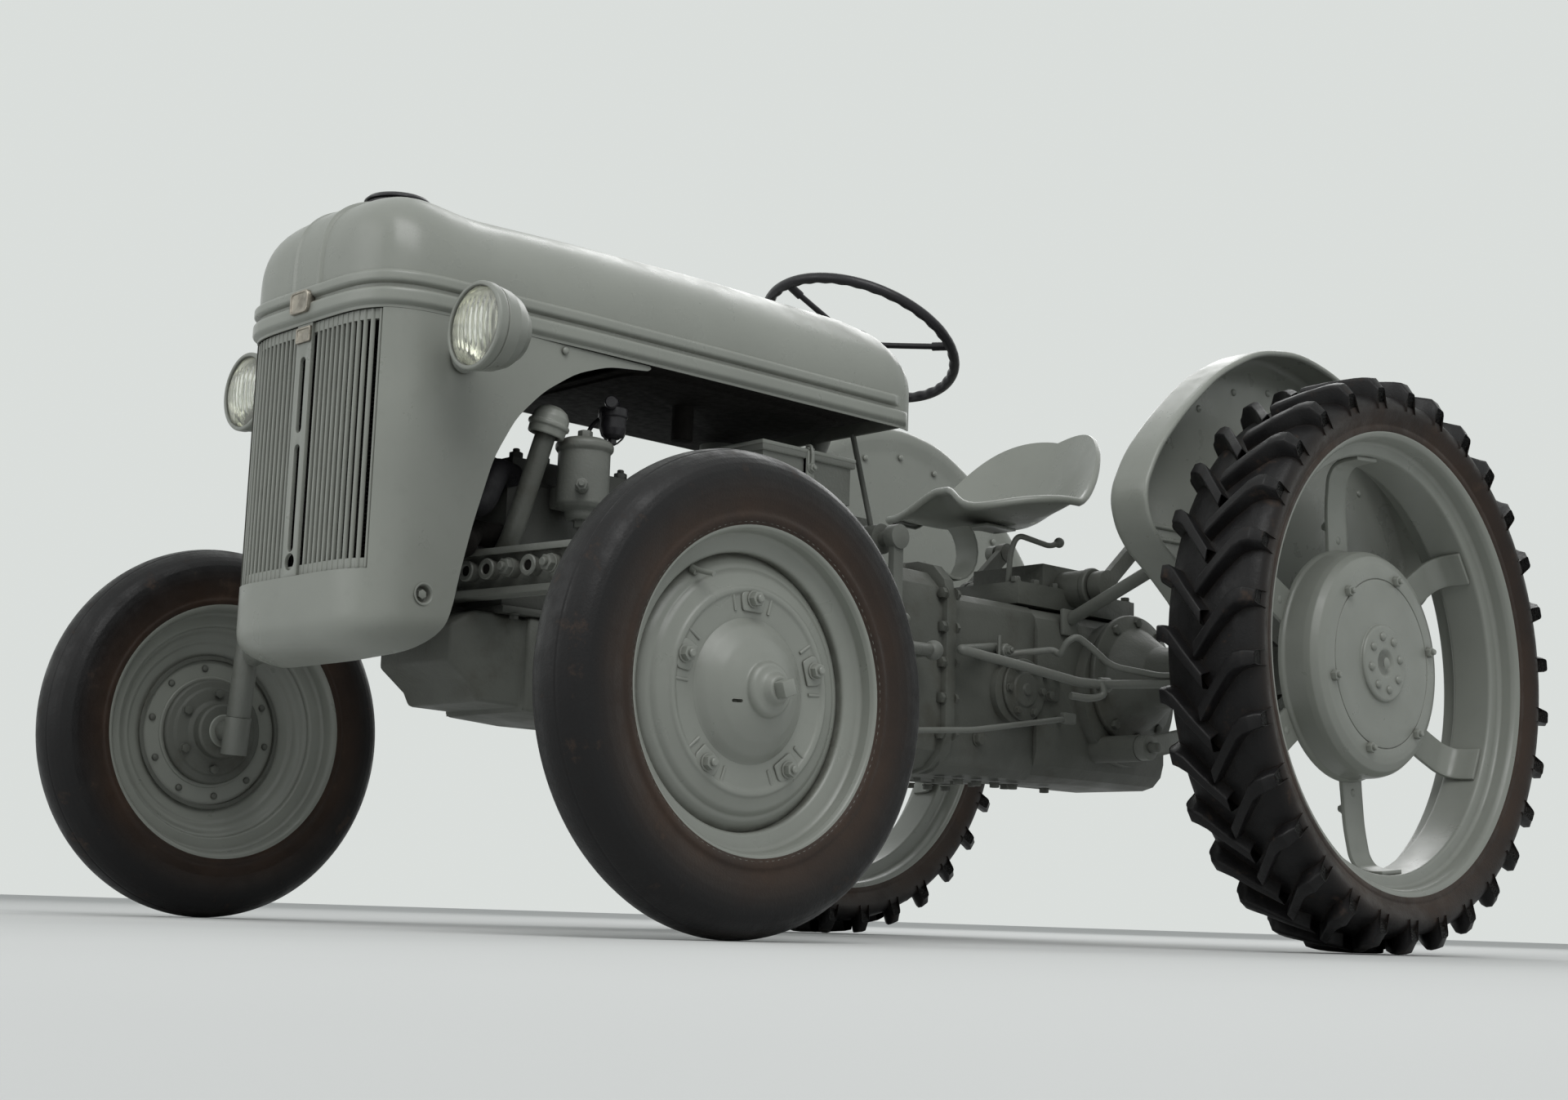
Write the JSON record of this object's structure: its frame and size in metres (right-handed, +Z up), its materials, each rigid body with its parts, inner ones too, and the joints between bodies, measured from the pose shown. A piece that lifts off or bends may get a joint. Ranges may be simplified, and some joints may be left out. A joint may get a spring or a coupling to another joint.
{
  "type": "vintage farm tractor",
  "caption": "Grey vintage farm tractor with pressed hood, bar grille, headlamps, open engine, pan seat and rear three-point lift.",
  "frame": {"origin": "on the ground, midway between the front tyres' leading edge and the lower links' tips, on the centre plane", "axes": "+X forwards, +Y to the driver's left, +Z up"},
  "size_m": [2.9209, 1.836, 1.398],
  "materials": {
    "hood_paint": "satin paint, lightly weathered",
    "body_paint": "satin paint with grime in the seams",
    "iron_paint": "painted iron, dulled and oily",
    "engine_iron": "rough casting under worn grey paint and grime",
    "tyre": "worn rubber, dusty brown sidewalls",
    "lens": "fluted pale glass",
    "black_trim": "hard black rim covering",
    "black_paint": "matt black paint",
    "bare_steel": "worn steel",
    "black_rubber": "matt hose rubber"
  },
  "bodies": {
    "chassis": {"engine_block": "engine_iron", "oil_pan": "engine_iron", "exhaust": "engine_iron", "air_cleaner": "body_paint", "radiator": "black_paint", "fuel_tank": "engine_iron", "battery_box": "body_paint", "oil_filter": "body_paint", "breather": "body_paint", "hood": "hood_paint", "grille": "body_paint", "side_panels": "body_paint", "nose_pan": "body_paint", "headlamps": "body_paint", "lamp_lenses": "lens", "front_axle": "iron_paint", "radius_rods": "iron_paint", "transmission_case": "engine_iron", "rear_housing": "engine_iron", "axle_trumpets": "iron_paint", "lift_cover": "engine_iron", "seat_spring": "body_paint", "seat": "hood_paint", "fender_left": "hood_paint", "fender_right": "hood_paint", "steering_box": "iron_paint", "foot_controls": "iron_paint"},
    "filler_lid": {"filler_lid": "hood_paint"},
    "steer_left": {"knuckle_left": "iron_paint"},
    "steer_right": {"knuckle_right": "iron_paint"},
    "wheel_front_left": {"front_wheel_left": "body_paint", "front_tyre_left": "tyre"},
    "wheel_front_right": {"front_wheel_right": "body_paint", "front_tyre_right": "tyre"},
    "wheel_rear_left": {"rear_rim_left": "body_paint", "rear_dish_left": "body_paint", "rear_tyre_left": "tyre"},
    "wheel_rear_right": {"rear_rim_right": "body_paint", "rear_dish_right": "body_paint", "rear_tyre_right": "tyre"},
    "steering_wheel": {"steering_wheel": "black_trim"},
    "pitman_left": {"pitman_left": "iron_paint"},
    "pitman_right": {"pitman_right": "iron_paint"},
    "drag_link_left": {"drag_link_left": "iron_paint"},
    "drag_link_right": {"drag_link_right": "iron_paint"},
    "lift_arms": {"lift_arms": "iron_paint"},
    "lift_rod_left": {"lift_rod_left": "iron_paint"},
    "lift_rod_right": {"lift_rod_right": "iron_paint"},
    "lower_link_left": {"lower_link_left": "iron_paint"},
    "lower_link_right": {"lower_link_right": "iron_paint"}
  },
  "joints": [
    {"name": "steer_left", "type": "hinge", "parent": "chassis", "child": "steer_left", "pos_m": [1.0825, 0.709, 0.378], "axis": [0, -0.1219, 0.9925], "range_deg": [-32, 32]},
    {"name": "roll_front_left", "type": "hinge", "parent": "steer_left", "child": "wheel_front_left", "pos_m": [1.0825, 0.801, 0.378], "axis": [0, 1, 0], "continuous": true},
    {"name": "roll_rear_left", "type": "hinge", "parent": "chassis", "child": "wheel_rear_left", "pos_m": [-0.6955, 0.804, 0.6], "axis": [0, 1, 0], "continuous": true},
    {"name": "pitman_swing_left", "type": "hinge", "parent": "chassis", "child": "pitman_left", "pos_m": [0.0975, 0.19, 0.824], "axis": [0, 1, 0], "range_deg": [-28, 28]},
    {"name": "drag_swivel_left", "type": "hinge", "parent": "steer_left", "child": "drag_link_left", "pos_m": [1.0705, 0.53195, 0.6273], "axis": [0, -0.1219, 0.9925], "range_deg": [-33, 33]},
    {"name": "steer_right", "type": "hinge", "parent": "chassis", "child": "steer_right", "pos_m": [1.0825, -0.709, 0.378], "axis": [0, 0.1219, 0.9925], "range_deg": [-33, 33]},
    {"name": "roll_front_right", "type": "hinge", "parent": "steer_right", "child": "wheel_front_right", "pos_m": [1.0825, -0.801, 0.378], "axis": [0, 1, 0], "continuous": true},
    {"name": "roll_rear_right", "type": "hinge", "parent": "chassis", "child": "wheel_rear_right", "pos_m": [-0.6955, -0.804, 0.6], "axis": [0, 1, 0], "continuous": true},
    {"name": "pitman_swing_right", "type": "hinge", "parent": "chassis", "child": "pitman_right", "pos_m": [0.0975, -0.19, 0.824], "axis": [0, 1, 0], "range_deg": [-28, 28]},
    {"name": "drag_swivel_right", "type": "hinge", "parent": "steer_right", "child": "drag_link_right", "pos_m": [1.0705, -0.53195, 0.6273], "axis": [0, 0.1219, 0.9925], "range_deg": [-33, 33]},
    {"name": "steering_turn", "type": "hinge", "parent": "chassis", "child": "steering_wheel", "pos_m": [0.0285, 0, 1.293], "axis": [-0.4147, 0, 0.91], "range_deg": [-390, 390]},
    {"name": "lift", "type": "hinge", "parent": "chassis", "child": "lift_arms", "pos_m": [-0.5575, 0, 0.8], "axis": [0, 1, 0], "range_deg": [-40, 20]},
    {"name": "lift_rod_pin_left", "type": "hinge", "parent": "lift_arms", "child": "lift_rod_left", "pos_m": [-0.71356, 0.249, 0.94052], "axis": [0, 1, 0], "range_deg": [-17, 33]},
    {"name": "lower_link_pin_left", "type": "hinge", "parent": "chassis", "child": "lower_link_left", "pos_m": [-0.6075, 0.3, 0.435], "axis": [0, 1, 0], "range_deg": [-28, 14]},
    {"name": "lift_rod_pin_right", "type": "hinge", "parent": "lift_arms", "child": "lift_rod_right", "pos_m": [-0.71356, -0.249, 0.94052], "axis": [0, 1, 0], "range_deg": [-17, 33]},
    {"name": "lower_link_pin_right", "type": "hinge", "parent": "chassis", "child": "lower_link_right", "pos_m": [-0.6075, -0.3, 0.435], "axis": [0, 1, 0], "range_deg": [-28, 14]},
    {"name": "lid_hinge", "type": "hinge", "parent": "chassis", "child": "filler_lid", "pos_m": [1.1625, 0, 1.3006], "axis": [0, -1, 0], "range_deg": [0, 100]}
  ],
  "couplings": [
    {"joint": "pitman_swing_left", "follows": "steer_left", "ratio": -0.845},
    {"joint": "drag_swivel_left", "follows": "steer_left", "ratio": -1},
    {"joint": "pitman_swing_right", "follows": "steer_left", "ratio": 0.845},
    {"joint": "drag_swivel_right", "follows": "steer_left", "ratio": -1},
    {"joint": "steer_right", "follows": "steer_left", "ratio": 1},
    {"joint": "steering_turn", "follows": "steer_left", "ratio": 12},
    {"joint": "lift_rod_pin_left", "follows": "lift", "ratio": -0.8},
    {"joint": "lower_link_pin_left", "follows": "lift", "ratio": 0.66},
    {"joint": "lift_rod_pin_right", "follows": "lift", "ratio": -0.8},
    {"joint": "lower_link_pin_right", "follows": "lift", "ratio": 0.66}
  ]
}
